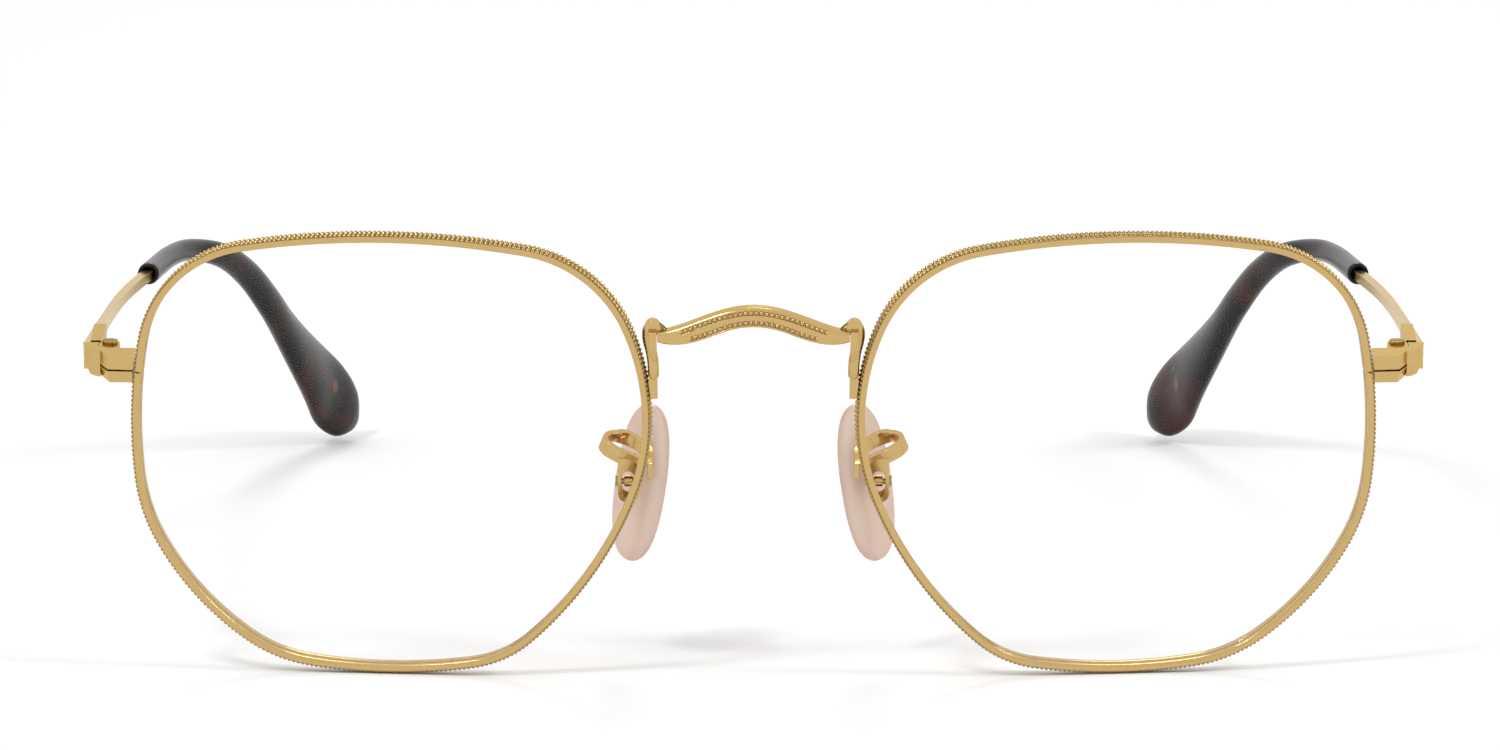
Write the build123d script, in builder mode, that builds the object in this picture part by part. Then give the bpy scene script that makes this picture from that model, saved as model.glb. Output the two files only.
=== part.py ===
from build123d import *
from math import cos, radians, sin
import os

# Hexagonal metal spectacle frame with demo lenses, open and standing on its two rims and two
# temple tips. Millimetres, +Z up, the front faces -Y, and X = 0 is the plane of symmetry.
# Right and left are the wearer's, so the right side lies at negative X.

# Boxed sizes of the frame
lens_width = 51.0
lens_height = 44.3
bridge_gap = 21.0
front_tilt = 6.0
rim_wrap = 6.0
foot_y = -62.915

# Outline of one eye, seen from the front on the right side: six corners joined by bowed sides.
# It is drawn on a width of one and then stretched to the lens. Corners are shares of the half
# width and half height, bows and rounds are shares of the width.
drawn_height_share = 0.8672
corner_shares = [
    (0.433, -0.938), (0.974, -0.044), (0.755, 0.909),
    (-0.879, 0.865), (-0.974, -0.275), (-0.447, -0.957),
]
bow_shares = [0.0365, 0.0548, 0.0486, 0.0322, 0.0364, 0.0224]
round_shares = [0.221, 0.422, 0.250, 0.237, 0.337, 0.278]

# Rim wire and the lens in its groove
rim_face = 0.90
rim_depth = 1.80
bead_band = 0.70
neck_depth = 0.14
groove_depth = 0.28
groove_fit = 0.03
lens_thickness = 1.50
bevel_root = 0.30
rim_slit = 0.20
solder_gap = 0.02

# Endpiece at the temporal side: heights from the parting of the rim lock, and in the plan of the
# front, distances out from the lens edge and back from where the wrapped lens ends
parting_share = 0.6935
end_below = 1.37
end_above = 1.48
end_bevel = 0.62
root_out = 0.10
facet_out = 2.70
step_out = 3.60
brow_out = 4.60
turn_out = 5.30
side_out = 5.55
front_behind = 0.28
facet_behind = 0.53
step_behind = 2.53
brow_behind = 3.13
turn_behind = 4.13
butt_behind = 5.63
inner_behind = 3.53
corner_behind = 4.23
end_wall = 1.60

# Rim lock screw, upright through the closing block into the endpiece
lock_out = 2.05
lock_behind = 2.08
lock_radius = 0.50
lock_head_radius = 0.85
lock_head_height = 0.35
lock_reach = 1.00
screw_fit = 0.03
slot_width = 0.20
slot_depth = 0.16

# Three-knuckle hinge
hinge_radius = 1.00
hinge_play = 0.10
hinge_leaf_height = 2.70
knuckle_gap = 0.04
hinge_screw_radius = 0.50
hinge_head_radius = 0.78
hinge_head_height = 0.28
leaf_length = 6.2
butt_gap = 0.04

# Temple, from the endpiece back to the tip, in the frame's own axes: shares of the reach, of
# the inset of the tips, and of the height of the hinge
bar_shares = [
    (0.000, 0.600, 1.000), (0.150, 0.600, 0.880), (0.320, 0.620, 0.660), (0.480, 0.680, 0.500),
    (0.640, 0.840, 0.390), (0.800, 0.960, 0.370), (1.000, 1.000, 0.370),
]
bar_thickness = 1.10
bar_height = 2.60
core_thickness = 0.90
core_height = 0.90
temple_reach = 126.0
tip_inset = 18.0
temple_shares = [
    (-0.024, 0.006, 1.004), (0.115, -0.024, 0.977), (0.270, -0.048, 0.948), (0.440, -0.042, 0.917),
    (0.600, 0.022, 0.892), (0.685, 0.086, 0.886), (0.735, 0.184, 0.873), (0.780, 0.355, 0.822),
    (0.820, 0.479, 0.731), (0.855, 0.584, 0.608), (0.890, 0.672, 0.476), (0.925, 0.762, 0.350),
    (0.965, 0.867, 0.205), (1.000, 1.000, 0.0571),
]
core_end_share = 0.93

# Tip sleeve: position along the temple line, tall and thick sizes as shares of the widest
sleeve_tall = 8.3
sleeve_thick = 3.3
sleeve_shares = [
    (0.530, 0.300, 0.720), (0.600, 0.315, 0.740), (0.680, 0.360, 0.790), (0.760, 0.400, 0.840),
    (0.840, 0.520, 0.920), (0.890, 0.740, 0.970), (0.930, 0.950, 1.000), (0.962, 1.000, 0.960),
    (0.985, 0.930, 0.760), (1.000, 0.560, 0.340),
]
core_fit = 0.05

# Bridge: an arched bar with two bead channels, ears behind its ends and feet down the rims.
# Edge shares run from the middle outwards: across the half span, and up from the lobes.
# Ears and feet are placed from the lens edge, from the lobes and from the front of the nasal side.
bridge_share = 0.7878
bridge_ahead = 0.07
bridge_depth = 1.50
bridge_short = 1.00
bridge_tall = 3.78
bridge_edge = 0.30
bridge_top_shares = [(0.35, 0.852), (0.56, 0.664), (0.76, 0.474), (0.905, 0.365), (1.0, 0.330)]
bridge_low_shares = [(0.24, 0.392), (0.45, 0.204), (0.66, 0.042), (0.81, 0.0), (0.93, 0.026), (1.0, 0.08)]
bridge_waist_share = 0.474
channel_width = 0.44
channel_depth = 0.14
channel_inset = 0.50
channel_end_share = 0.76
ear_short = 0.55
ear_above = 1.55
ear_radius = 0.80
ear_depth = 1.10
ear_behind = 1.92
foot_above = 1.30
foot_below = 5.50
foot_short = 0.15
foot_width = 0.90
foot_lean = 0.12
foot_depth = 1.30

# Pad arm: a strip that leaves the rim, loops back and comes forward again, and its end plate.
# Points run from the rim: in from the lens edge, up from the root and back from the nasal side.
arm_share = 0.4853
arm_points = [
    (-0.25, 0.0, 1.87), (-0.25, 0.1, 5.07), (0.25, 0.4, 7.57), (1.80, 1.2, 8.77),
    (3.50, 1.7, 8.37), (4.50, 1.4, 7.17), (3.90, 0.9, 6.22), (2.50, 0.2, 5.97),
    (1.10, -0.4, 5.97),
]
arm_strip = 1.50
arm_thickness = 0.50
plate_width = 2.10
plate_rise = 2.70

# Pad box, screw, insert and pad
box_out = 2.00
box_below = 2.60
box_behind = 6.24
box_depth = 1.60
box_width = 1.90
box_tall = 3.30
box_wall = 0.28
pad_screw_radius = 0.30
pad_head_radius = 0.55
pad_head_height = 0.34
stem_width = 0.80
eye_radius = 0.55
insert_width = 1.50
insert_tall = 4.40
insert_thickness = 0.45
insert_sink = 0.25
insert_fit = 0.05
pad_out = 0.90
pad_below = 4.40
pad_behind = 12.12
pad_tall = 16.0
pad_width = 7.60
pad_thickness = 2.50
pad_round = 1.15
pad_turn = 30.0
pad_splay = 9.0

# One overrun serves every cut
overrun = 1.0


def front_point(x, up, back):
    """A point given across, up and back along the tilted front."""
    return Vector(x, foot_y, 0) + up_dir * up + back_dir * back


def plan_plane(up):
    """Plan of the front at a height along it: X across, Y back."""
    return Plane(origin=front_point(0, up, 0), x_dir=(1, 0, 0), z_dir=up_dir)


def face_plane(back):
    """View of the front at a depth: X across, Y up along it, Z towards the viewer."""
    return Plane(origin=front_point(0, 0, back), x_dir=(1, 0, 0), z_dir=-back_dir)


up_dir = Vector(0, -sin(radians(front_tilt)), cos(radians(front_tilt)))
back_dir = Vector(0, cos(radians(front_tilt)), sin(radians(front_tilt)))

# Eye opening: the inner edge of the rim, which the lens passes by the depth of the groove
open_width = lens_width - 2 * groove_depth
open_height = lens_height - 2 * groove_depth
corners = [(across / 2, up * drawn_height_share / 2) for across, up in corner_shares]

with BuildSketch() as eye_opening:
    with BuildLine():
        for i, bow_share in enumerate(bow_shares):
            SagittaArc(corners[i], corners[(i + 1) % len(corners)], -bow_share)
    make_face()
    for corner, round_share in zip(corners, round_shares):
        fillet(eye_opening.vertices().sort_by_distance(corner)[0], round_share)
    scale(by=(open_width, open_height / drawn_height_share, 1))

# The lens centre stands so high that the lowest point of the rim's front edge is on the floor
eye_height = rim_face - eye_opening.sketch.bounding_box().min.Y
lens_edge = bridge_gap / 2
eye_x = lens_edge + lens_width / 2
temple_edge = lens_edge + lens_width
wrap_back = lens_width / 2 * sin(radians(rim_wrap))
eye_plane = Plane(
    origin=front_point(-eye_x, eye_height, rim_depth / 2),
    x_dir=Vector(1, 0, 0) * cos(radians(rim_wrap)) - back_dir * sin(radians(rim_wrap)),
    z_dir=-back_dir * cos(radians(rim_wrap)) - Vector(1, 0, 0) * sin(radians(rim_wrap)),
)


# Path round the opening at mid depth of the rim; its sections are drawn outwards along X
eye_path = eye_opening.sketch.wire().moved(eye_plane.location)
section_plane = Plane(
    origin=eye_path.position_at(0),
    x_dir=eye_path.tangent_at(0).cross(eye_plane.z_dir), z_dir=eye_path.tangent_at(0),
)

# Right rim: two bead bands round a narrower neck, a V groove inside and a slit at the endpiece
half_depth = rim_depth / 2
groove_reach = groove_depth + groove_fit
with BuildPart() as right_rim:
    with BuildSketch(section_plane):
        with BuildLine():
            Polyline(
                (0, half_depth), (rim_face, half_depth), (rim_face, half_depth - bead_band),
                (rim_face - neck_depth, half_depth - bead_band),
                (rim_face - neck_depth, bead_band - half_depth), (rim_face, bead_band - half_depth),
                (rim_face, -half_depth), (0, -half_depth), (0, -groove_reach), (groove_reach, 0),
                (0, groove_reach), close=True,
            )
        make_face()
    sweep(path=eye_path)
    with BuildSketch(plan_plane(parting_share * lens_height)):
        with Locations((-temple_edge - facet_out, wrap_back)):
            Rectangle(2 * facet_out + overrun, 2 * (rim_depth + overrun))
    extrude(amount=rim_slit / 2, both=True, mode=Mode.SUBTRACT)

# Right lens: a flat plate with a V bevel that sits in the groove
with BuildPart() as right_lens:
    with BuildSketch(eye_plane):
        add(eye_opening.sketch)
    extrude(amount=lens_thickness / 2, both=True)
    with BuildSketch(section_plane):
        with BuildLine():
            Polyline(
                (groove_depth, 0), (-bevel_root, groove_depth + bevel_root),
                (-bevel_root, -groove_depth - bevel_root), close=True,
            )
        make_face()
    sweep(path=eye_path)

# Room of the rim and its solder, cut from everything that is joined to it
with BuildPart() as rim_room:
    with BuildSketch(section_plane):
        with Locations((-overrun, 0)):
            Rectangle(overrun + rim_face + solder_gap, rim_depth + 2 * solder_gap,
                      align=(Align.MIN, Align.CENTER))
    sweep(path=eye_path)

# Plan of the endpiece: the front edge from the rim to the butt, then the inner edge
end_parting = parting_share * lens_height
end_bottom = end_parting - end_below
end_top = end_parting + end_above
end_root = temple_edge + root_out
end_facet = temple_edge + facet_out
end_step = temple_edge + step_out
end_side = temple_edge + side_out
end_butt = wrap_back + butt_behind
end_inner_back = wrap_back + inner_behind
end_corner_back = wrap_back + corner_behind
end_front_edge = [
    (-end_root, wrap_back + front_behind), (-end_facet, wrap_back + facet_behind),
    (-end_step, wrap_back + step_behind), (-temple_edge - brow_out, wrap_back + brow_behind),
    (-temple_edge - turn_out, wrap_back + turn_behind), (-end_side, end_butt),
]
end_inner_edge = [
    (end_wall - end_side, end_butt), (end_wall - end_side, end_corner_back),
    (-end_facet, end_inner_back), (-end_root, end_inner_back),
]
# The lower bevel draws each front point in, straight back near the rim and sideways at the end
end_low_edge = [
    (x + end_bevel * k / (len(end_front_edge) - 1), y + end_bevel * (1 - k / (len(end_front_edge) - 1)))
    for k, (x, y) in enumerate(end_front_edge)
]


def plan_loft(low_points, low, high_points, high):
    """A ruled body between two plan outlines at two heights of the front."""
    plans = []
    for points, up in ((low_points, low), (high_points, high)):
        with BuildSketch(plan_plane(up)) as plan:
            with BuildLine():
                Polyline(*points, close=True)
            make_face()
        plans.append(plan.sketch)
    loft(plans, ruled=True)


# Closing block under the near part of the endpiece, with the head of the lock screw let in
lock_x = temple_edge + lock_out
lock_back = wrap_back + lock_behind
block_high = [p for p in end_front_edge[:3]] + [(-end_step, end_inner_back), (-end_root, end_inner_back)]
block_low = [p for p in end_low_edge[:3]] + block_high[3:]
with BuildPart() as right_closing_block:
    plan_loft(block_low, end_bottom, block_high, end_parting - rim_slit / 2)
    add(rim_room.part, mode=Mode.SUBTRACT)
    with BuildSketch(plan_plane(end_bottom)):
        with Locations((-lock_x, lock_back)):
            Circle(lock_radius + screw_fit)
    extrude(amount=end_top - end_bottom, mode=Mode.SUBTRACT)
    with BuildSketch(plan_plane(end_bottom)):
        with Locations((-lock_x, lock_back)):
            Circle(lock_head_radius + screw_fit)
    extrude(amount=lock_head_height, mode=Mode.SUBTRACT)

# Endpiece: full height at the outer end, cut away over the closing block
with BuildPart() as right_endpiece:
    plan_loft(end_low_edge + end_inner_edge, end_bottom, end_front_edge + end_inner_edge, end_parting)
    with BuildSketch(plan_plane(end_parting)):
        with BuildLine():
            Polyline(*end_front_edge, *end_inner_edge, close=True)
        make_face()
    extrude(amount=end_top - end_parting)
    with BuildSketch(plan_plane(end_parting + rim_slit / 2)):
        with Locations((-end_step - solder_gap, 0)):
            Rectangle(end_step, 2 * end_butt, align=(Align.MIN, Align.CENTER))
    extrude(amount=end_bottom - end_parting - overrun, mode=Mode.SUBTRACT)
    add(rim_room.part, mode=Mode.SUBTRACT)
    with BuildSketch(plan_plane(end_parting)):
        with Locations((-lock_x, lock_back)):
            Circle(lock_radius + screw_fit)
    extrude(amount=rim_slit / 2 + lock_reach + screw_fit, mode=Mode.SUBTRACT)


def screw(shank_radius, head_radius, head_height, length, plane):
    """A slotted cheese-head screw on the plane's Z axis, with the head's face at its origin."""
    with BuildSketch(plane) as head:
        Circle(head_radius)
    extrude(head.sketch, amount=head_height)
    with BuildSketch(plane) as shank:
        Circle(shank_radius)
    extrude(shank.sketch, amount=length)
    with BuildSketch(plane) as slot:
        Rectangle(2 * head_radius + overrun, slot_width)
    extrude(slot.sketch, amount=slot_depth, mode=Mode.SUBTRACT)


with BuildPart() as right_lock_screw:
    lock_plane = Plane(origin=front_point(-lock_x, end_bottom, lock_back), x_dir=(1, 0, 0), z_dir=up_dir)
    lock_length = end_parting + rim_slit / 2 + lock_reach - end_bottom
    screw(lock_radius, lock_head_radius, lock_head_height - screw_fit, lock_length, lock_plane)

# Hinge: the axis stands in the butt plane, beside the inner face of the temple bar
hinge_x = end_side - end_wall - hinge_radius - hinge_play
hinge_mid = (end_bottom + end_top) / 2
hinge_low = hinge_mid - hinge_leaf_height / 2
hinge_high = hinge_mid + hinge_leaf_height / 2
knuckle = hinge_leaf_height / 3
hinge_bore = hinge_screw_radius + screw_fit
web_back = end_butt + hinge_radius


def at_hinge(shape_radius, low, high, mode=Mode.ADD):
    """A cylinder on the hinge axis between two heights of the front."""
    with BuildSketch(plan_plane(low)) as round_plan:
        with Locations((-hinge_x, end_butt)):
            Circle(shape_radius)
    extrude(round_plan.sketch, amount=high - low, mode=mode)


# Front leaf: top and bottom knuckles on a web that fills the corner behind the endpiece
with BuildPart() as right_hinge_front:
    with BuildSketch(plan_plane(hinge_low)):
        with BuildLine():
            Polyline(
                (-hinge_x + hinge_radius, end_butt), (-hinge_x + hinge_radius, end_inner_back + solder_gap),
                (-end_facet, end_inner_back + solder_gap),
                (end_wall - end_side + solder_gap, end_corner_back + solder_gap),
                (end_wall - end_side + solder_gap, end_butt), close=True,
            )
        make_face()
    extrude(amount=hinge_leaf_height)
    at_hinge(hinge_radius, hinge_low, hinge_high)
    at_hinge(hinge_radius + hinge_play, hinge_low + knuckle, hinge_high - knuckle, mode=Mode.SUBTRACT)
    at_hinge(hinge_bore, hinge_low - overrun, hinge_high + overrun, mode=Mode.SUBTRACT)

with BuildPart() as right_hinge_screw:
    hinge_top_plane = Plane(
        origin=front_point(-hinge_x, hinge_high + hinge_head_height, end_butt),
        x_dir=(1, 0, 0), z_dir=-up_dir,
    )
    screw(hinge_screw_radius, hinge_head_radius, hinge_head_height - solder_gap,
          hinge_head_height + hinge_leaf_height, hinge_top_plane)

# Line of the temple: straight back, down behind the ear and in towards the head
hinge_point = front_point(-hinge_x, hinge_mid, end_butt)
temple_x = end_side - bar_shares[0][1] * bar_thickness / 2
temple_points = [
    (inset * tip_inset - temple_x, hinge_point.Y + along * temple_reach, up * hinge_point.Z)
    for along, inset, up in temple_shares
]
with BuildLine() as temple_line:
    Spline(*temple_points)
temple_wire = temple_line.wire()


def temple_plane(share):
    """Section plane of the temple: X out to the side, Y up across it, Z along it."""
    along = temple_wire.tangent_at(share)
    return Plane(
        origin=temple_wire.position_at(share),
        x_dir=Vector(-along.Y, along.X, 0), z_dir=along,
    )


def temple_loft(stations, mode=Mode.ADD):
    """A rectangular bar lofted along the temple line through stations of share, thickness, height."""
    sections = []
    for share, thick, tall in stations:
        with BuildSketch(temple_plane(share)) as section:
            Rectangle(thick, tall)
        sections.append(section.sketch)
    loft(sections, mode=mode)


sleeve_start_share = sleeve_shares[0][0]
core_count = 9
core_step = (core_end_share - sleeve_start_share) / core_count
core_stations = [sleeve_start_share + core_step * k for k in range(core_count + 1)]

# Bar: flat strip that slims towards the sleeve and runs on inside it as a core
with BuildPart() as right_temple_bar:
    temple_loft([(along * sleeve_start_share, thick * bar_thickness, tall * bar_height)
                 for along, thick, tall in bar_shares])
    temple_loft([(share, core_thickness, core_height) for share in core_stations])
    with BuildSketch(plan_plane(0)):
        with Locations((-end_side, end_butt + butt_gap)):
            Rectangle(2 * end_wall + overrun, 2 * end_butt, align=(Align.CENTER, Align.MAX))
    extrude(amount=2 * end_top, mode=Mode.SUBTRACT)

# Tip sleeve: slim round mouth, swelling to a flat rounded paddle, hollow for the core
with BuildPart() as right_temple_tip:
    for share, tall_share, thick_share in sleeve_shares:
        with BuildSketch(temple_plane(share)):
            Ellipse(thick_share * sleeve_thick / 2, tall_share * sleeve_tall / 2)
    loft()
    hollow = core_fit * 2
    temple_loft([(share, core_thickness + hollow, core_height + hollow) for share in core_stations],
                mode=Mode.SUBTRACT)

# Temple leaf: one middle knuckle and a plate soldered to the inner face of the bar
web_low = hinge_low + knuckle + knuckle_gap
with BuildPart() as right_hinge_temple:
    at_hinge(hinge_radius, web_low, hinge_high - knuckle - knuckle_gap)
    with BuildSketch(plan_plane(web_low)):
        with Locations((-hinge_x, end_butt)):
            Rectangle(end_wall + hinge_play, 2 * hinge_radius + hinge_play,
                      align=(Align.MAX, Align.MIN))
    extrude(amount=knuckle - 2 * knuckle_gap)
    at_hinge(hinge_bore, hinge_low, hinge_high, mode=Mode.SUBTRACT)
    with BuildSketch(plan_plane(hinge_low + knuckle_gap)):
        with Locations((-hinge_x - hinge_radius, end_butt + hinge_radius + hinge_play)):
            Rectangle(temple_x - hinge_x - hinge_radius, leaf_length, align=(Align.MAX, Align.MIN))
    extrude(amount=hinge_leaf_height - 2 * knuckle_gap)
    temple_loft([(along * sleeve_start_share, thick * bar_thickness + 2 * solder_gap, 2 * bar_height)
                 for along, thick, tall in bar_shares[:3]], mode=Mode.SUBTRACT)


bridge_half = lens_edge - bridge_short
bridge_low = bridge_share * lens_height


def bridge_edge_points(middle, shares, shift=0.0):
    """Points of a bridge edge from side to side, given from the middle outwards."""
    half = [(x * bridge_half, bridge_low + up * bridge_tall + shift) for x, up in shares]
    return [(-x, up) for x, up in reversed(half)] + [(0, middle + shift)] + half


bridge_top = bridge_low + bridge_tall
bridge_waist = bridge_low + bridge_tall * bridge_waist_share
bridge_front = bridge_ahead - wrap_back
ear_x = lens_edge - ear_short
foot_inner = lens_edge - foot_short
foot_outer = foot_inner - foot_width
channel_tops = [p for p in bridge_top_shares if p[0] <= channel_end_share]
channel_lows = [p for p in bridge_low_shares if p[0] <= channel_end_share]

with BuildPart() as bridge:
    with BuildSketch(face_plane(bridge_front + bridge_depth)):
        with BuildLine():
            upper = Spline(*bridge_edge_points(bridge_top, bridge_top_shares))
            lower = Spline(*bridge_edge_points(bridge_waist, bridge_low_shares))
            Line(upper @ 0, lower @ 0)
            Line(upper @ 1, lower @ 1)
        make_face()
    extrude(amount=bridge_depth)
    front_face = bridge.faces().sort_by(Axis((0, 0, 0), back_dir))[0]
    fillet(front_face.edges().filter_by(GeomType.BSPLINE), bridge_edge)
    for middle, shares, shift in (
        (bridge_top, channel_tops, -channel_inset), (bridge_waist, channel_lows, channel_inset),
    ):
        with BuildSketch(face_plane(bridge_front)):
            with BuildLine():
                Spline(*bridge_edge_points(middle, shares, shift))
            trace(line_width=channel_width)
        extrude(amount=-channel_depth, mode=Mode.SUBTRACT)
    with BuildSketch(face_plane(ear_behind - wrap_back)):
        with Locations((-ear_x, bridge_low + ear_above), (ear_x, bridge_low + ear_above)):
            Circle(ear_radius)
    extrude(amount=ear_depth)
    with BuildSketch(face_plane(bridge_front + (bridge_depth + foot_depth) / 2)):
        for side in (1, -1):
            with BuildLine():
                Polyline(
                    (side * foot_inner, bridge_low + foot_above),
                    (side * (foot_outer + foot_lean), bridge_low + foot_above),
                    (side * foot_outer, bridge_low - foot_below),
                    (side * foot_inner, bridge_low - foot_below), close=True,
                )
            make_face()
    extrude(amount=foot_depth)
    add(rim_room.part, mode=Mode.SUBTRACT)
    add(mirror(rim_room.part, about=Plane.YZ, mode=Mode.PRIVATE), mode=Mode.SUBTRACT)

# Right pad arm: the looped strip, and a plate with a mouth for the pad box
arm_up = arm_share * lens_height
box_x = lens_edge + box_out
box_up = arm_up - box_below
box_back = box_behind - wrap_back
with BuildLine() as arm_line:
    Spline(*[front_point(-lens_edge - out, arm_up + up, back - wrap_back) for out, up, back in arm_points])
arm_wire = arm_line.wire()
arm_start = Plane(
    origin=arm_wire.position_at(0), x_dir=arm_wire.tangent_at(0).cross(up_dir), z_dir=arm_wire.tangent_at(0),
)

with BuildPart() as right_pad_arm:
    with BuildSketch(arm_start):
        Rectangle(arm_thickness, arm_strip)
    sweep(path=arm_wire)
    with BuildSketch(face_plane(box_back - solder_gap)):
        with Locations((-box_x, box_up)):
            Rectangle(plate_width, plate_rise, align=(Align.CENTER, Align.MIN))
            SlotOverall(box_tall + 2 * box_wall, plate_width, rotation=90)
            SlotOverall(box_tall - 2 * box_wall, box_width - 2 * box_wall, rotation=90, mode=Mode.SUBTRACT)
    extrude(amount=arm_thickness)
    add(rim_room.part, mode=Mode.SUBTRACT)

# Right pad box: a short oval tube behind the plate, cross-drilled for the screw
box_screw_back = box_back + box_depth / 2
with BuildPart() as right_pad_box:
    with BuildSketch(face_plane(box_back + box_depth)):
        with Locations((-box_x, box_up)):
            SlotOverall(box_tall, box_width, rotation=90)
            SlotOverall(box_tall - 2 * box_wall, box_width - 2 * box_wall, rotation=90, mode=Mode.SUBTRACT)
    extrude(amount=box_depth)
    with BuildSketch(Plane(origin=front_point(-box_x, box_up, box_screw_back), z_dir=(1, 0, 0))):
        Circle(pad_screw_radius + screw_fit)
    extrude(amount=box_width, both=True, mode=Mode.SUBTRACT)

with BuildPart() as right_pad_screw:
    pad_head_x = -box_x - box_width / 2 - solder_gap - pad_head_height
    head_plane = Plane(origin=front_point(pad_head_x, box_up, box_screw_back), x_dir=up_dir, z_dir=(1, 0, 0))
    screw(pad_screw_radius, pad_head_radius, pad_head_height,
          pad_head_height + solder_gap + box_width, head_plane)

# Right nose pad: an oval cushion round the plate of its metal insert
pad_long = up_dir * cos(radians(pad_splay)) + Vector(1, 0, 0) * sin(radians(pad_splay))
pad_cross = Vector(1, 0, 0) * cos(radians(pad_splay)) - up_dir * sin(radians(pad_splay))
pad_normal = pad_cross * cos(radians(pad_turn)) + back_dir * sin(radians(pad_turn))
pad_centre = front_point(-lens_edge - pad_out, arm_up - pad_below, pad_behind - wrap_back)
pad_plane = Plane(origin=pad_centre, x_dir=pad_long, z_dir=pad_normal)
stem_start = front_point(-box_x, box_up, box_screw_back)
stem_end = pad_plane.origin - pad_normal * insert_sink
stem_run = stem_end - stem_start


def insert_solid(fit):
    """The stem and the plate of the pad insert, grown by a fit all round."""
    stem_plane = Plane(origin=stem_start, x_dir=up_dir.cross(stem_run), z_dir=stem_run)
    with BuildSketch(stem_plane) as stem:
        Rectangle(stem_width + 2 * fit, stem_width + 2 * fit)
    extrude(stem.sketch, amount=stem_run.length)
    with BuildSketch(pad_plane.offset(-insert_sink)) as plate:
        SlotOverall(insert_tall + 2 * fit, insert_width + 2 * fit)
    extrude(plate.sketch, amount=insert_thickness / 2 + fit, both=True)


with BuildPart() as right_pad_insert:
    insert_solid(0)
    with BuildSketch(Plane(origin=stem_start, z_dir=(1, 0, 0))):
        Circle(eye_radius)
    extrude(amount=stem_width / 2, both=True)
    with BuildSketch(Plane(origin=stem_start, z_dir=(1, 0, 0))):
        Circle(pad_screw_radius + screw_fit)
    extrude(amount=stem_width, both=True, mode=Mode.SUBTRACT)

with BuildPart() as insert_room:
    insert_solid(insert_fit)

with BuildPart() as right_nose_pad:
    with BuildSketch(pad_plane):
        SlotOverall(pad_tall, pad_width)
    extrude(amount=pad_thickness / 2, both=True)
    fillet(right_nose_pad.faces().sort_by(Axis((0, 0, 0), pad_normal))[0].edges(), pad_round)
    fillet(right_nose_pad.faces().sort_by(Axis((0, 0, 0), pad_normal))[-1].edges(), pad_round)
    add(insert_room.part, mode=Mode.SUBTRACT)

right_pieces = {
    "rim": right_rim, "lens": right_lens, "endpiece": right_endpiece,
    "closing_block": right_closing_block, "lock_screw": right_lock_screw,
    "hinge_front_leaf": right_hinge_front, "hinge_temple_leaf": right_hinge_temple,
    "hinge_screw": right_hinge_screw, "temple_bar": right_temple_bar, "temple_tip": right_temple_tip,
    "pad_arm": right_pad_arm, "pad_box": right_pad_box, "pad_screw": right_pad_screw,
    "pad_insert": right_pad_insert, "nose_pad": right_nose_pad,
}

os.makedirs("parts", exist_ok=True)
bridge.part.label = "bridge"
export_step(bridge.part, "parts/bridge.step")
for name, piece in right_pieces.items():
    piece.part.label = f"right_{name}"
    export_step(piece.part, f"parts/right_{name}.step")
    with BuildPart() as left_piece:
        mirror(piece.part, about=Plane.YZ)
    left_piece.part.label = f"left_{name}"
    export_step(left_piece.part, f"parts/left_{name}.step")
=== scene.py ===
from math import ceil, cos, pi, radians, sin, sqrt

import bmesh
import bpy
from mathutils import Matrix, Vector
from mathutils.geometry import convex_hull_2d


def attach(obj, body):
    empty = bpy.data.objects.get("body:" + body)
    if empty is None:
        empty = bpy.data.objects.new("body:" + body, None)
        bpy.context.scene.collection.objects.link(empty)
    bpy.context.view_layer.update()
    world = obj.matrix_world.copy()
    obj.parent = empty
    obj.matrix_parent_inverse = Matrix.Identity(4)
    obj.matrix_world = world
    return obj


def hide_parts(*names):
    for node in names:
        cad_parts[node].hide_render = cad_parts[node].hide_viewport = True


# Hexagonal metal spectacles with beaded rims, clear demo lenses and tortoise temple tips.
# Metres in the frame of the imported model: +Z up, the front faces -Y, the floor is at Z = 0.
# Named lengths are in millimetres.

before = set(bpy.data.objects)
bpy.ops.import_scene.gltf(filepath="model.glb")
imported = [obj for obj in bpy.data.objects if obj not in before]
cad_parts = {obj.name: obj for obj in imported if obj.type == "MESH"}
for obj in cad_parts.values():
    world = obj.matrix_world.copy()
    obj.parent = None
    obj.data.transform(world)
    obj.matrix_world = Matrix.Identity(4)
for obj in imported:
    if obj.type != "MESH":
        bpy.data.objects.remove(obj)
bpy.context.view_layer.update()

MM = 0.001
SIDES = {"right": -1, "left": 1}

# The front leans back and each eye is wrapped; up and back run along and square to the front
TILT = radians(6.0)
WRAP = radians(6.0)
FOOT_BACK = -62.915
UP = Vector((0, -sin(TILT), cos(TILT)))
BACK = Vector((0, cos(TILT), sin(TILT)))
FOOT = Vector((0, FOOT_BACK * MM, 0))


def front_point(x, up, back):
    """A point given in millimetres across, up and back along the tilted front."""
    return FOOT + (Vector((x, 0, 0)) + UP * up + BACK * back) * MM


# Materials

def paint(code):
    """Linear colour of an sRGB hex code."""
    parts = [int(code[i:i + 2], 16) / 255 for i in (1, 3, 5)]
    return [c / 12.92 if c <= 0.04045 else ((c + 0.055) / 1.055) ** 2.4 for c in parts] + [1.0]


def add_node(tree, kind, inputs=None, **settings):
    """A shader node with its settings; an input takes a value, or another node's output."""
    made = tree.nodes.new(kind)
    for name, value in settings.items():
        setattr(made, name, value)
    for name, value in (inputs or {}).items():
        socket = made.inputs[name]
        if isinstance(value, bpy.types.NodeSocket):
            tree.links.new(value, socket)
        else:
            socket.default_value = value
    return made


def new_material(name):
    """An empty material and its node tree."""
    made = bpy.data.materials.new(name)
    made.use_nodes = True
    made.node_tree.nodes.clear()
    return made, made.node_tree


def close_material(tree, shader):
    add_node(tree, "ShaderNodeOutputMaterial", {"Surface": shader})


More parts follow.
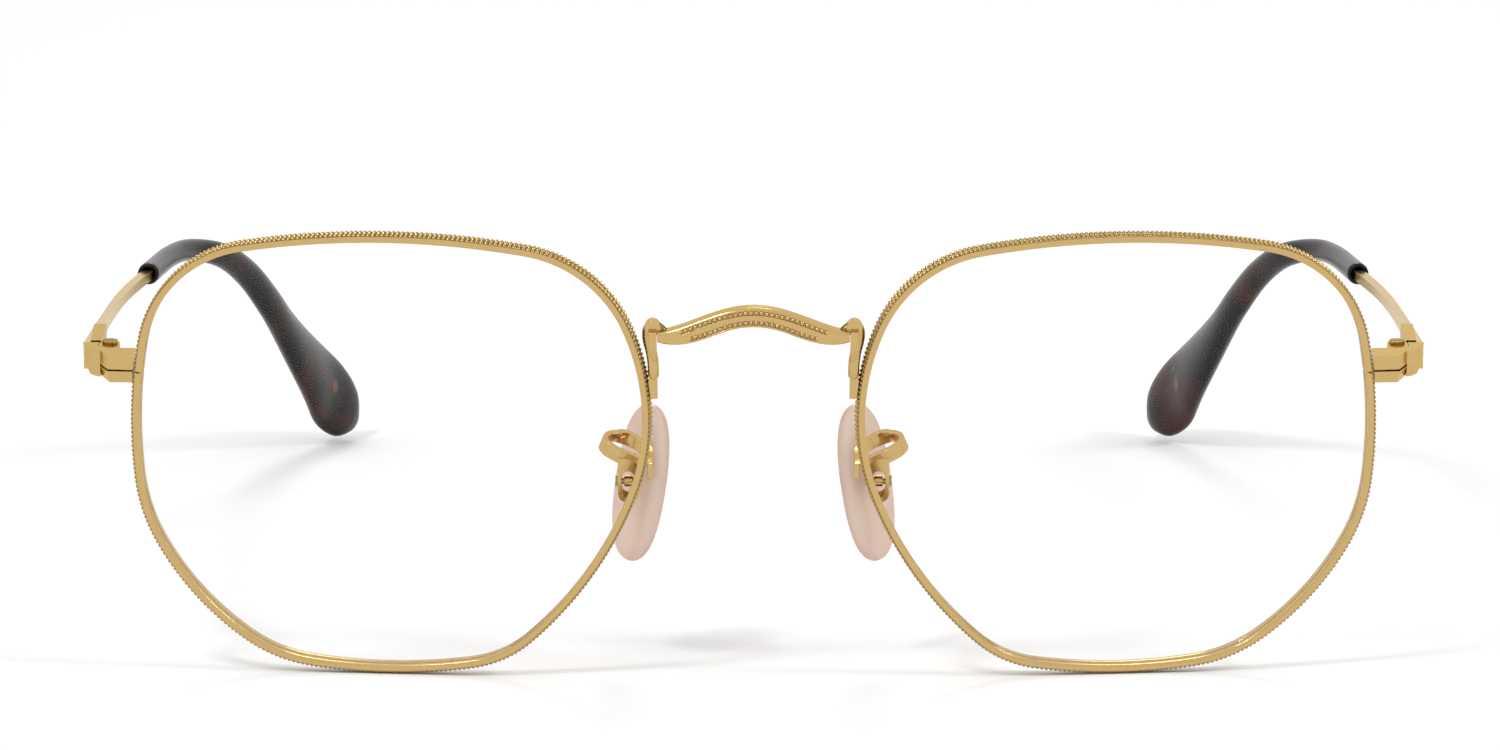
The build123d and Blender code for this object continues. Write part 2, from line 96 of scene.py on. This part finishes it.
# Name of the per-point painted shade value that darkens the gold
SHADE_ATTRIBUTE = "painted_pit_shade"
EDGE_BREAK = 0.06


def metal(name, code, pit_shade_code, roughness, grain_mm, grain_depth):
    """Polished plated metal: mirror-like with a faint grain, broken edges, and painted shade in the hollows between
    beads.

    The polishing grain is far finer than this; it is drawn as coarse as it needs to show.
    """
    made, tree = new_material(name)
    place = add_node(tree, "ShaderNodeTexCoord").outputs["Object"]
    grain = add_node(tree, "ShaderNodeTexNoise", {
        "Vector": place, "Scale": 1 / (grain_mm * MM), "Detail": 3.0, "Roughness": 0.55,
    }).outputs["Fac"]
    edge = add_node(tree, "ShaderNodeBevel", {"Radius": EDGE_BREAK * MM}, samples=4).outputs["Normal"]
    relief = add_node(tree, "ShaderNodeBump", {
        "Height": grain, "Strength": 1.0, "Distance": grain_depth * MM, "Normal": edge,
    }).outputs["Normal"]
    wear = add_node(tree, "ShaderNodeMapRange", {
        "Value": grain, "From Min": 0.3, "From Max": 0.7,
        "To Min": roughness * 0.8, "To Max": roughness * 1.25,
    }).outputs["Result"]
    # Painted shade: a per-point value mixes the dark shade colour into the gold, between beads, on the strips under
    # the bridge beads and along the bridge-end curls
    painted_pit_shade = add_node(tree, "ShaderNodeAttribute", attribute_name=SHADE_ATTRIBUTE).outputs["Fac"]
    colour = add_node(tree, "ShaderNodeMix", {
        0: painted_pit_shade, 6: paint(code), 7: paint(pit_shade_code)}, data_type="RGBA").outputs[2]
    shader = add_node(tree, "ShaderNodeBsdfPrincipled", {
        "Base Color": colour, "Metallic": 1.0, "Roughness": wear, "Normal": relief,
        "Specular Tint": paint("#f4e6c6"),
    }).outputs["BSDF"]
    close_material(tree, shader)
    return made


def clear_lens():
    """Demo lens plastic: clear, with a faint reflection that grows towards grazing angles."""
    made, tree = new_material("clear demo lens plastic")
    glow = add_node(tree, "ShaderNodeBsdfGlossy", {"Roughness": 0.02, "Color": paint("#ffffff")}).outputs["BSDF"]
    through = add_node(tree, "ShaderNodeBsdfTransparent", {"Color": paint("#ffffff")}).outputs["BSDF"]
    share = add_node(tree, "ShaderNodeFresnel", {"IOR": 1.49}).outputs["Fac"]
    faint = add_node(tree, "ShaderNodeMath", {0: share, 1: 0.12}, operation="MULTIPLY").outputs["Value"]
    close_material(tree, add_node(tree, "ShaderNodeMixShader", {0: faint, 1: through, 2: glow}).outputs["Shader"])
    return made


def tortoise():
    """Tumbled acetate: near-black brown with reddish clouds and a few amber spots, under a soft gloss."""
    made, tree = new_material("dark tortoise acetate")
    place = add_node(tree, "ShaderNodeTexCoord").outputs["Object"]
    clouds = add_node(tree, "ShaderNodeTexNoise", {
        "Vector": place, "Scale": 1 / (9.0 * MM), "Detail": 2.0, "Roughness": 0.5, "Distortion": 0.8,
    }).outputs["Fac"]
    spots = add_node(tree, "ShaderNodeTexNoise", {
        "Vector": place, "Scale": 1 / (5.0 * MM), "Detail": 1.0, "Roughness": 0.4, "Distortion": 0.4,
    }).outputs["Fac"]
    body = add_node(tree, "ShaderNodeValToRGB", {"Fac": clouds})
    dark, red = body.color_ramp.elements
    dark.position, dark.color = 0.50, paint("#161110")
    red.position, red.color = 0.76, paint("#42211a")
    amber = add_node(tree, "ShaderNodeMapRange", {
        "Value": spots, "From Min": 0.70, "From Max": 0.78}).outputs["Result"]
    mixed = add_node(tree, "ShaderNodeMix", {
        0: amber, 6: body.outputs["Color"], 7: paint("#8a4a26")}, data_type="RGBA")
    shader = add_node(tree, "ShaderNodeBsdfPrincipled", {
        "Base Color": mixed.outputs[2], "Roughness": 0.24, "IOR": 1.46, "Specular IOR Level": 0.22,
    }).outputs["BSDF"]
    close_material(tree, shader)
    return made


def silicone():
    """Moulded pad silicone: soft and translucent, with painted shade that makes it pinker and darker where it turns
    away.
    """
    made, tree = new_material("translucent pad silicone")
    turned = add_node(tree, "ShaderNodeLayerWeight", {"Blend": 0.45}).outputs["Facing"]
    # Painted shade: the facing mix darkens the pad towards its edges
    colour = add_node(tree, "ShaderNodeMix", {
        0: turned, 6: paint("#fbeade"), 7: paint("#dcae96")}, data_type="RGBA")
    shader = add_node(tree, "ShaderNodeBsdfPrincipled", {
        "Base Color": colour.outputs[2], "Roughness": 0.3, "IOR": 1.41,
        "Subsurface Weight": 0.5, "Subsurface Radius": (1.0, 0.6, 0.4), "Subsurface Scale": 1.0 * MM,
        "Transmission Weight": 0.4,
    }).outputs["BSDF"]
    close_material(tree, shader)
    return made


def paper(name, code):
    """Seamless studio paper: matt, so that it holds soft shadows only."""
    made, tree = new_material(name)
    shader = add_node(tree, "ShaderNodeBsdfPrincipled", {"Base Color": paint(code), "Roughness": 0.8}).outputs["BSDF"]
    close_material(tree, shader)
    return made


# The second colour of each gold is its painted shade colour
pale_gold = metal("pale gold plated nickel silver", "#c8a970", "#2c2008", 0.16, 0.35, 0.0008)
screw_gold = metal("pale gold screw steel", "#ab9258", "#2c2008", 0.20, 0.20, 0.0010)
lens_plastic = clear_lens()
tip_acetate = tortoise()
pad_silicone = silicone()


# Making pieces

def finish_piece(obj, material, slot_name, body, *nodes):
    """Gives a built piece its material, lets it ride on its body and stand for its nodes."""
    obj.data.materials.clear()
    obj.data.materials.append(material)
    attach(obj, body)
    if nodes:
        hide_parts(*nodes)


def mesh_object(name, points, faces, smooth=True, pit_shades=None):
    """An object from points and faces, with its normals made to face outwards and its painted shade values stored per
    point.
    """
    mesh = bpy.data.meshes.new(name)
    mesh.from_pydata([tuple(p) for p in points], [], faces)
    if pit_shades:
        mesh.attributes.new(SHADE_ATTRIBUTE, "FLOAT", "POINT").data.foreach_set("value", pit_shades)
    shape = bmesh.new()
    shape.from_mesh(mesh)
    bmesh.ops.recalc_face_normals(shape, faces=shape.faces)
    shape.to_mesh(mesh)
    shape.free()
    for face in mesh.polygons:
        face.use_smooth = smooth
    obj = bpy.data.objects.new(name, mesh)
    bpy.context.scene.collection.objects.link(obj)
    return obj


def skin(rings):
    """Points and faces of a closed tube through rings of points."""
    count = len(rings[0])
    last = (len(rings) - 1) * count
    faces = []
    for i in range(0, last, count):
        for k in range(count):
            m = (k + 1) % count
            faces.append((i + k, i + m, i + count + m, i + count + k))
    faces += [tuple(range(count)), tuple(range(last, last + count))]
    return [p for ring in rings for p in ring], faces


def smooth_line(controls, steps=10):
    """Points of a smooth open curve through control points."""
    ends = [controls[0] * 2 - controls[1]] + controls + [controls[-1] * 2 - controls[-2]]
    out = []
    for i in range(1, len(ends) - 2):
        a, b, c, d = ends[i - 1:i + 3]
        for k in range(steps):
            t = k / steps
            out.append(0.5 * (2 * b + (c - a) * t + (2 * a - 5 * b + 4 * c - d) * t * t
                              + (3 * b - a - 3 * c + d) * t ** 3))
    return out + [controls[-1]]


# Rims: the outline is read from the CAD rim, and the beads are rolled along its two outer edges

RIM_FACE, RIM_DEPTH = 0.90, 1.80
BEAD_BAND, BEAD_PITCH, BEAD_HEIGHT = 0.72, 0.47, 0.26
BEAD_LENGTH_SHARE = 0.84
BEAD_RISE_SHARES = [0.0, 0.55, 0.83, 0.97, 1.0, 0.97, 0.83, 0.55, 0.0]
BEAD_STEPS = 8
# Painted shade: the neck between the bead rows, the band edges and the gaps between beads are darkened
NECK_FLOOR, NECK_MARGIN, NECK_SHADE = 0.34, 0.03, 0.8
BAND_EDGE_SHADE = 0.5
FACE_STEP = 0.06
INNER_BREAK, GROOVE_HALF = 0.05, 0.31
PARTING, SLIT = 30.72, 0.20
FLAT_ENOUGH, LEAST_SPACING, CLOSE_SPACING = 0.002, 0.02, 0.1


def outline_of(node, side):
    """The outer front edge of a rim as points in the eye's own plane, and that plane."""
    across = Vector((1, 0, 0)) * cos(WRAP) + BACK * sin(WRAP) * side
    facing = Vector((1, 0, 0)) * sin(WRAP) * side - BACK * cos(WRAP)
    points = [v.co.copy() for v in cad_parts[node].data.vertices]
    front = max(p.dot(facing) for p in points)
    flat = [Vector((p.dot(across), p.dot(UP))) for p in points if front - p.dot(facing) < FLAT_ENOUGH * MM]
    hull = [flat[i] for i in convex_hull_2d(flat)]
    spaced = [p for i, p in enumerate(hull) if (p - hull[i - 1]).length > LEAST_SPACING * MM]
    return spaced, (across, facing, front)


def smooth_closed(points):
    """A closed run of points set close together along a smooth curve through them."""
    count = len(points)
    dense = []
    for i in range(count):
        a, b, c, d = (points[(i + k) % count] for k in (-1, 0, 1, 2))
        t0, t1 = 0, sqrt((b - a).length)
        t2 = t1 + sqrt((c - b).length)
        t3 = t2 + sqrt((d - c).length)
        pieces = max(2, ceil((c - b).length / (CLOSE_SPACING * MM)))
        for k in range(pieces):
            t = t1 + (t2 - t1) * k / pieces
            ab = (a * (t1 - t) + b * (t - t0)) / (t1 - t0)
            bc = (b * (t2 - t) + c * (t - t1)) / (t2 - t1)
            cd = (c * (t3 - t) + d * (t - t2)) / (t3 - t2)
            abc = (ab * (t2 - t) + bc * (t - t0)) / (t2 - t0)
            bcd = (bc * (t3 - t) + cd * (t - t1)) / (t3 - t1)
            dense.append((abc * (t2 - t) + bcd * (t - t1)) / (t2 - t1))
    return dense


def closed_lengths(points):
    """Running length at each point of a closed run, and the whole length."""
    lengths, total = [], 0.0
    for i, p in enumerate(points):
        lengths.append(total)
        total += (points[(i + 1) % len(points)] - p).length
    return lengths, total


def rim_profile(bump):
    """Section of the rim: millimetres out from the outer edge and back from the front, and how much painted shade it
    takes.
    """
    bands = []
    for start in (0.0, RIM_DEPTH - BEAD_BAND):
        bands.append([
            (BEAD_HEIGHT * (bump * rise - 1), start + BEAD_BAND * k / (len(BEAD_RISE_SHARES) - 1),
             1 - bump * sqrt(rise) if 0 < rise else BAND_EDGE_SHADE)
            for k, rise in enumerate(BEAD_RISE_SHARES)
        ])
    neck = [
        (-NECK_FLOOR, BEAD_BAND + NECK_MARGIN, NECK_SHADE),
        (-NECK_FLOOR, RIM_DEPTH - BEAD_BAND - NECK_MARGIN, NECK_SHADE),
    ]
    half = RIM_DEPTH / 2
    back_face = [(-BEAD_HEIGHT - FACE_STEP, RIM_DEPTH, 0), (-RIM_FACE + INNER_BREAK, RIM_DEPTH, 0)]
    groove = [
        (-RIM_FACE, RIM_DEPTH - INNER_BREAK, 0), (-RIM_FACE, half + GROOVE_HALF, 0),
        (-RIM_FACE + GROOVE_HALF, half, 0), (-RIM_FACE, half - GROOVE_HALF, 0), (-RIM_FACE, INNER_BREAK, 0),
    ]
    front_face = [(-RIM_FACE + INNER_BREAK, 0.0, 0), (-BEAD_HEIGHT - FACE_STEP, 0.0, 0)]
    return bands[0] + neck + bands[1] + back_face + groove + front_face


def build_rim(name, side):
    """A beaded rim in the CAD rim's outline, split at the rim lock."""
    node = f"{name}_rim"
    hull, (across, facing, front) = outline_of(node, side)
    dense = smooth_closed(hull)
    middle = sum(dense, Vector((0, 0))) / len(dense)
    lengths, total = closed_lengths(dense)
    count = round(total / (BEAD_PITCH * MM)) * BEAD_STEPS
    split = FOOT.dot(UP) + PARTING * MM
    temple_half = [i for i, p in enumerate(dense) if (p.x - middle.x) * side > 0]
    seam = min(temple_half, key=lambda i: abs(dense[i].y - split))
    rings, pit_shades = [], []
    for k in range(count + 1):
        travel = SLIT / 2 * MM + (total - SLIT * MM) * k / count
        target = (lengths[seam] + travel) % total
        low, high = 0, len(dense) - 1
        while low < high:
            mid = (low + high + 1) // 2
            if lengths[mid] <= target:
                low = mid
            else:
                high = mid - 1
        a, b = dense[low], dense[(low + 1) % len(dense)]
        p = a + (b - a) * ((target - lengths[low]) / ((b - a).length or 1.0))
        run = (dense[(low + 3) % len(dense)] - dense[low - 2]).normalized()
        out = Vector((run.y, -run.x))
        if out.dot(p - middle) < 0:
            out = -out
        phase = (travel / (BEAD_PITCH * MM)) % 1.0 * 2 - 1
        bump = sqrt(max(0.0, 1 - (phase / BEAD_LENGTH_SHARE) ** 2))
        ring = []
        for outwards, backwards, shade_amount in rim_profile(bump):
            pit_shades.append(shade_amount)
            q = p + out * (outwards * MM)
            ring.append(across * q.x + UP * q.y + facing * (front - backwards * MM))
        rings.append(ring)
    rim = mesh_object(f"{name}_beaded_rim", *skin(rings), pit_shades=pit_shades)
    finish_piece(rim, pale_gold, "gold_metal", "front", node)


for name, side in SIDES.items():
    build_rim(name, side)


# Bridge beads: two rows, each on a strip darkened with painted shade, that fill the channels of the bridge's face

BRIDGE_FRONT, CHANNEL_DEPTH, CHANNEL_INSET = -2.60, 0.14, 0.50
BRIDGE_BEAD, BRIDGE_BEAD_HEIGHT, BRIDGE_BEAD_PITCH = 0.225, 0.20, 0.52
BRIDGE_HALF, BRIDGE_LOW, BRIDGE_TALL = 9.50, 34.90, 3.78
TOP_SHARES = [(0.35, 0.852), (0.56, 0.664), (0.76, 0.474)]
LOW_SHARES = [(0.24, 0.392), (0.45, 0.204), (0.66, 0.042)]
WAIST_SHARE = 0.474
# Painted shade: the strips under the beads, and the base ring of each bead, are darkened
BEAD_SINK, STRIP_SINK, STRIP_SHADE = 0.01, 0.02, 0.28
DOME_SHADE = (0.35, 0.05, 0.0, 0.0, 0.0)
DOME_AROUND = 12
ROW_STEPS = 40
TINY = 1e-9


def even_line(controls, step):
    """Evenly spaced points of a smooth open curve through points."""
    dense = smooth_line(controls, ROW_STEPS)
    total = sum((q - p).length for p, q in zip(dense, dense[1:]))
    count = round(total / step)
    gap, out, travel, want = total / count, [dense[0]], 0.0, total / count
    for p, q in zip(dense, dense[1:]):
        span = (q - p).length
        while travel + span >= want - TINY and len(out) <= count:
            out.append(p + (q - p) * ((want - travel) / span))
            want += gap
        travel += span
    return out


def dome(centre):
    """Points and faces of a low round bead in a channel, around a point across and up."""
    rings = len(DOME_SHADE)
    points, faces = [], []
    for i in range(rings):
        angle = pi / 2 * i / (rings - 1)
        wide = BRIDGE_BEAD * cos(angle)
        for k in range(DOME_AROUND):
            turn = 2 * pi * k / DOME_AROUND
            points.append(front_point(
                centre.x + wide * cos(turn), centre.y + wide * sin(turn),
                BRIDGE_FRONT + CHANNEL_DEPTH - BEAD_SINK - BRIDGE_BEAD_HEIGHT * sin(angle),
            ))
    for i in range(0, (rings - 1) * DOME_AROUND, DOME_AROUND):
        for k in range(DOME_AROUND):
            m = (k + 1) % DOME_AROUND
            faces.append((i + k, i + m, i + DOME_AROUND + m, i + DOME_AROUND + k))
    return points, faces


def bridge_row(shares, middle_up, inset):
    """Centres of one row of beads, from side to side."""
    half = [Vector((x * BRIDGE_HALF, BRIDGE_LOW + up * BRIDGE_TALL + inset)) for x, up in shares]
    row = [Vector((-p.x, p.y)) for p in reversed(half)] + [Vector((0, middle_up + inset))] + half
    return even_line(row, BRIDGE_BEAD_PITCH)


def build_bridge_beads():
    """Both rows of beads and the strips between them and the channel floors."""
    points, faces, pit_shades = [], [], []
    rows = [bridge_row(TOP_SHARES, BRIDGE_LOW + BRIDGE_TALL, -CHANNEL_INSET),
            bridge_row(LOW_SHARES, BRIDGE_LOW + BRIDGE_TALL * WAIST_SHARE, CHANNEL_INSET)]
    for row in rows:
        for centre in row:
            bead_points, bead_faces = dome(centre)
            faces += [tuple(len(points) + i for i in face) for face in bead_faces]
            points += bead_points
            pit_shades += [shade_amount for shade_amount in DOME_SHADE for _ in range(DOME_AROUND)]
        first = len(points)
        for before, p, after in zip(row[:1] + row, row, row[1:] + row[-1:]):
            run = (after - before).normalized()
            over = Vector((-run.y, run.x)) * BRIDGE_BEAD
            for edge in (p + over, p - over):
                points.append(front_point(edge.x, edge.y, BRIDGE_FRONT + CHANNEL_DEPTH - STRIP_SINK))
                pit_shades.append(STRIP_SHADE)
        for a in range(first, len(points) - 2, 2):
            faces.append((a, a + 1, a + 3, a + 2))
    beads = mesh_object("bridge_bead_rows", points, faces, pit_shades=pit_shades)
    finish_piece(beads, pale_gold, "gold_metal", "front")


build_bridge_beads()


# Bridge ends: a round wire that curls over behind each end and runs down on the foot

# Painted shade: the curl darkens along the first half of the wire
CURL_RADIUS, CURL_SHADE, CURL_SHADE_SHARE = 0.56, 0.75, 0.5
CURL_AROUND, CURL_END_RINGS, CURL_END_START = 16, 4, 0.4
CURL_LINE = [
    (8.80, 35.80, -1.35), (9.30, 36.25, -1.20), (9.85, 36.55, -1.10), (10.30, 36.30, -1.05),
    (10.45, 35.75, -1.20), (10.35, 35.05, -1.60), (10.10, 34.20, -2.00), (9.92, 33.20, -2.25),
    (9.87, 32.20, -2.25), (9.90, 31.50, -1.95),
]


def build_curl(name, side):
    """The curled wire of one bridge end, with painted shade that fades out along the first half of the wire."""
    line = smooth_line([front_point(side * x, up, back) for x, up, back in CURL_LINE])
    last = len(line) - 1
    rings = []
    for k, p in enumerate(line):
        run = (line[min(k + 1, last)] - line[max(k - 1, 0)]).normalized()
        first = run.cross(BACK).normalized()
        second = run.cross(first)
        end = min(k, last - k)
        wide = CURL_RADIUS * MM
        if end < CURL_END_RINGS:
            wide *= sqrt(1 - (1 - (end + CURL_END_START) / CURL_END_RINGS) ** 2)
        turns = [2 * pi * i / CURL_AROUND for i in range(CURL_AROUND)]
        rings.append([p + (first * cos(turn) + second * sin(turn)) * wide for turn in turns])
    points, faces = skin(rings)
    shade_count = CURL_SHADE_SHARE * len(points)
    pit_shades = [CURL_SHADE * max(0.0, 1 - i / shade_count) for i in range(len(points))]
    curl = mesh_object(f"{name}_bridge_end_curl", points, faces, pit_shades=pit_shades)
    finish_piece(curl, pale_gold, "gold_metal", "front")


for name, side in SIDES.items():
    build_curl(name, side)


# Temple tips: acetate sleeves with a round open mouth, swelling and turning into a flat paddle

TEMPLE_REACH, TIP_INSET = 126.0, 18.0
TEMPLE_OUT, TEMPLE_BACK, TEMPLE_UP = 66.72, -57.882, 31.4755
# The temple's line: shares of its reach, of the inset of the tips, and of the hinge's height
TEMPLE_SHARES = [
    (-0.024, 0.006, 1.004), (0.115, -0.024, 0.977), (0.270, -0.048, 0.948), (0.440, -0.042, 0.917),
    (0.600, 0.022, 0.892), (0.685, 0.086, 0.886), (0.735, 0.184, 0.873), (0.780, 0.355, 0.822),
    (0.820, 0.479, 0.731), (0.855, 0.584, 0.608), (0.890, 0.672, 0.476), (0.925, 0.762, 0.350),
    (0.965, 0.867, 0.205), (1.000, 1.000, 0.0571),
]
# Share of the temple's length, height, thickness, twist in degrees, and shift up and outwards
TIP_TABLE = [
    (0.530, 2.42, 2.40, 0.0, 0.00, 0.00), (0.600, 2.36, 2.40, -1.0, 0.07, 0.00),
    (0.660, 2.42, 2.50, -2.0, 0.14, 0.01), (0.720, 2.80, 2.61, -3.2, 0.20, 0.02),
    (0.780, 3.60, 2.71, -12.0, 0.17, -0.20), (0.840, 5.00, 2.94, -18.5, 0.10, -0.45),
    (0.890, 6.90, 3.21, -15.0, 0.03, -0.60), (0.930, 8.40, 3.31, -9.0, 0.06, -0.80),
    (0.960, 8.40, 3.12, -1.0, 0.10, -1.05), (0.985, 6.90, 2.90, -3.0, 0.11, -1.40),
    (1.000, 3.40, 1.77, -4.8, 0.12, -1.60),
]
TIP_AROUND, LINE_STEPS = 48, 30
TIP_STEPS = 110
# Rings of the mouth, from the floor of its hollow round the lip to the outside: shares of length and of size
MOUTH_RINGS = [(0.020, 0.58), (0.002, 0.58), (0.0, 0.70), (0.0, 0.88), (0.0015, 0.97)]
BODY_START, BODY_END = 0.004, 0.990
# Rings of the rounded end: how far from the end of the body, and size
END_STEPS, END_SHRINK = (0.4, 0.7, 0.9), 0.16
CLOSING_SIZES = (0.7, 0.3)


def table_at(share):
    """Sizes of the tip at a share of the temple's length, on smooth curves through its table."""
    last = len(TIP_TABLE) - 1
    k = next((i for i in range(last) if share <= TIP_TABLE[i + 1][0]), last - 1)
    low, high = TIP_TABLE[k], TIP_TABLE[k + 1]
    before, after = TIP_TABLE[max(k - 1, 0)], TIP_TABLE[min(k + 2, last)]
    span = high[0] - low[0]
    t = min((share - low[0]) / span, 1.0)
    sizes = []
    for a, b, c, d in zip(before[1:], low[1:], high[1:], after[1:]):
        start, end = (c - a) / (high[0] - before[0]) * span, (d - b) / (after[0] - low[0]) * span
        sizes.append(b * (2 * t ** 3 - 3 * t ** 2 + 1) + start * (t ** 3 - 2 * t ** 2 + t)
                     + c * (3 * t ** 2 - 2 * t ** 3) + end * (t ** 3 - t ** 2))
    return sizes


def build_tip(name, side):
    """One temple tip around the core of its temple bar."""
    line = smooth_line([
        Vector((side * (TEMPLE_OUT - inset * TIP_INSET), TEMPLE_BACK + along * TEMPLE_REACH, up * TEMPLE_UP)) * MM
        for along, inset, up in TEMPLE_SHARES
    ], LINE_STEPS)
    lengths = [0.0]
    for p, q in zip(line, line[1:]):
        lengths.append(lengths[-1] + (q - p).length)

    def ring(share, size=1.0):
        want = min(share, 1.0) * lengths[-1]
        k = next(i for i in range(1, len(line)) if lengths[i] >= want - TINY)
        p = line[k - 1].lerp(line[k], (want - lengths[k - 1]) / (lengths[k] - lengths[k - 1]))
        run = (line[min(k + 4, len(line) - 1)] - line[max(k - 5, 0)]).normalized()
        flat = Vector((side * run.y, -side * run.x, 0)).normalized()
        over = (Vector((0, 0, 1)) - run * run.z).normalized()
        tall, thick, turn, rise, shift = table_at(share)
        twist = radians(turn)
        wide = flat * cos(twist) + over * sin(twist)
        high = over * cos(twist) - flat * sin(twist)
        middle = p + (high * rise + wide * shift) * MM
        angles = [2 * pi * i / TIP_AROUND for i in range(TIP_AROUND)]
        return [middle + (wide * thick * cos(a) + high * tall * sin(a)) * size * MM / 2 for a in angles]

    start = TIP_TABLE[0][0]
    rings = [ring(start + inwards, size) for inwards, size in MOUTH_RINGS]
    body = BODY_END - start - BODY_START
    rings += [ring(start + BODY_START + body * k / TIP_STEPS) for k in range(TIP_STEPS + 1)]
    rings += [ring(BODY_END + (1 - BODY_END) * t, 1 - END_SHRINK * t * t) for t in END_STEPS]
    rings += [ring(1.0, size) for size in CLOSING_SIZES]
    tip = mesh_object(f"{name}_tortoise_tip", *skin(rings))
    finish_piece(tip, tip_acetate, "tortoise_tips", f"{name}_temple", f"{name}_temple_tip")


for name, side in SIDES.items():
    build_tip(name, side)


# Nose pads: soft oval cushions that stand for the CAD pads

PAD_X, PAD_UP, PAD_BACK = 11.35, 17.20, 9.45
PAD_TALL, PAD_WIDTH, PAD_THICK = 16.5, 7.90, 2.70
PAD_TURN, PAD_SPLAY = radians(30), radians(9)
PAD_LEVELS, PAD_AROUND = 24, 56
PAD_EDGE_POWER, PAD_LONG_POWER, PAD_WIDE_POWER = 0.45, 0.86, 0.95


def signed_power(value, power):
    return abs(value) ** power * (1 if value >= 0 else -1)


def build_pad(name, side):
    """One nose pad, splayed outwards at the foot and turned to lie on the nose."""
    inwards = Vector((-side, 0, 0))
    long_way = UP * cos(PAD_SPLAY) + inwards * sin(PAD_SPLAY)
    cross = inwards * cos(PAD_SPLAY) - UP * sin(PAD_SPLAY)
    normal = cross * cos(PAD_TURN) + BACK * sin(PAD_TURN)
    wide = long_way.cross(normal).normalized()
    centre = front_point(side * PAD_X, PAD_UP, PAD_BACK)
    rings = []
    for i in range(1, PAD_LEVELS):
        t = pi * i / PAD_LEVELS
        shrink = sin(t) ** PAD_EDGE_POWER
        long_shrink = (1 + shrink) / 2
        height = -cos(t) * PAD_THICK / 2
        ring = []
        for k in range(PAD_AROUND):
            turn = 2 * pi * k / PAD_AROUND
            a = signed_power(cos(turn), PAD_LONG_POWER) * PAD_TALL / 2
            b = signed_power(sin(turn), PAD_WIDE_POWER) * PAD_WIDTH / 2
            ring.append(centre + (long_way * a * long_shrink + wide * b * shrink + normal * height) * MM)
        rings.append(ring)
    pad = mesh_object(f"{name}_nose_pad_cushion", *skin(rings))
    finish_piece(pad, pad_silicone, "nose_pads", f"{name}_pad", f"{name}_nose_pad")


for name, side in SIDES.items():
    build_pad(name, side)


# The CAD pieces: gold, apart from those named here

finishes = {
    "lock_screw": screw_gold, "hinge_screw": screw_gold, "pad_screw": screw_gold,
    "lens": lens_plastic, "temple_tip": tip_acetate, "nose_pad": pad_silicone,
}
for node_name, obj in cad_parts.items():
    piece = node_name.removeprefix("right_").removeprefix("left_")
    obj.data.materials.clear()
    obj.data.materials.append(finishes.get(piece, pale_gold))


# Floor, studio and camera: places of the lamps in metres

FLOOR_HALF = 3.0
ROOM_STRENGTH, SEEN_STRENGTH = 0.68, 1.0
LAMP_AIM = (0, 0, 0.02)
# Name, place, size in metres and power in watts
LAMPS = [
    ("key_lamp", (-0.35, -0.45, 0.75), 0.16, 1.9),
    ("fill_lamp", (0.55, -0.25, 0.55), 0.16, 1.1),
    ("back_lamp", (0.05, 0.75, 0.65), 0.25, 1.3),
]
SENSOR_WIDTH, LENS_LENGTH = 36.0, 171.6
CAMERA_X, CAMERA_AWAY, CAMERA_UP = -0.35, 700.0, 153.08
CAMERA_PITCH = 9.94


def build_floor():
    corners = ((-1, -1), (1, -1), (1, 1), (-1, 1))
    points = [(x * FLOOR_HALF, y * FLOOR_HALF, 0.0) for x, y in corners]
    floor = mesh_object("studio_floor", points, [(0, 1, 2, 3)], smooth=False)
    floor.data.materials.append(paper("white studio paper", "#ffffff"))


def build_world():
    """A soft white room; what is seen, mirrored or seen through glass is plain white."""
    world = bpy.data.worlds.new("white studio")
    bpy.context.scene.world = world
    world.use_nodes = True
    tree = world.node_tree
    tree.nodes.clear()
    rays = add_node(tree, "ShaderNodeLightPath").outputs
    seen = add_node(tree, "ShaderNodeMath", {
        0: rays["Is Camera Ray"], 1: rays["Is Transmission Ray"]}, operation="MAXIMUM").outputs["Value"]
    seen = add_node(tree, "ShaderNodeMath", {
        0: seen, 1: rays["Is Glossy Ray"]}, operation="MAXIMUM").outputs["Value"]
    plain, white = (
        add_node(tree, "ShaderNodeBackground", {"Color": paint("#ffffff"), "Strength": strength}).outputs["Background"]
        for strength in (ROOM_STRENGTH, SEEN_STRENGTH)
    )
    mixed = add_node(tree, "ShaderNodeMixShader", {0: seen, 1: plain, 2: white}).outputs["Shader"]
    add_node(tree, "ShaderNodeOutputWorld", {"Surface": mixed})


def add_lamp(name, place, size, watts):
    data = bpy.data.lights.new(name, "AREA")
    data.shape, data.size, data.energy = "DISK", size, watts
    lamp = bpy.data.objects.new(name, data)
    bpy.context.scene.collection.objects.link(lamp)
    lamp.location = place
    lamp.rotation_euler = (Vector(LAMP_AIM) - Vector(place)).to_track_quat("-Z", "Y").to_euler()


def add_camera():
    """The photograph's long lens, pitched down and standing a little beside the middle."""
    data = bpy.data.cameras.new("photograph_camera")
    data.sensor_width = SENSOR_WIDTH
    data.lens = LENS_LENGTH
    data.clip_start, data.clip_end = 0.01, 20.0
    camera = bpy.data.objects.new("photograph_camera", data)
    bpy.context.scene.collection.objects.link(camera)
    camera.location = Vector((CAMERA_X, FOOT_BACK - CAMERA_AWAY, CAMERA_UP)) * MM
    camera.rotation_euler = (radians(90 - CAMERA_PITCH), 0, 0)
    bpy.context.scene.camera = camera


build_floor()
build_world()
for name, place, size, watts in LAMPS:
    add_lamp(name, place, size, watts)
add_camera()
bpy.context.scene.view_settings.view_transform = "Standard"
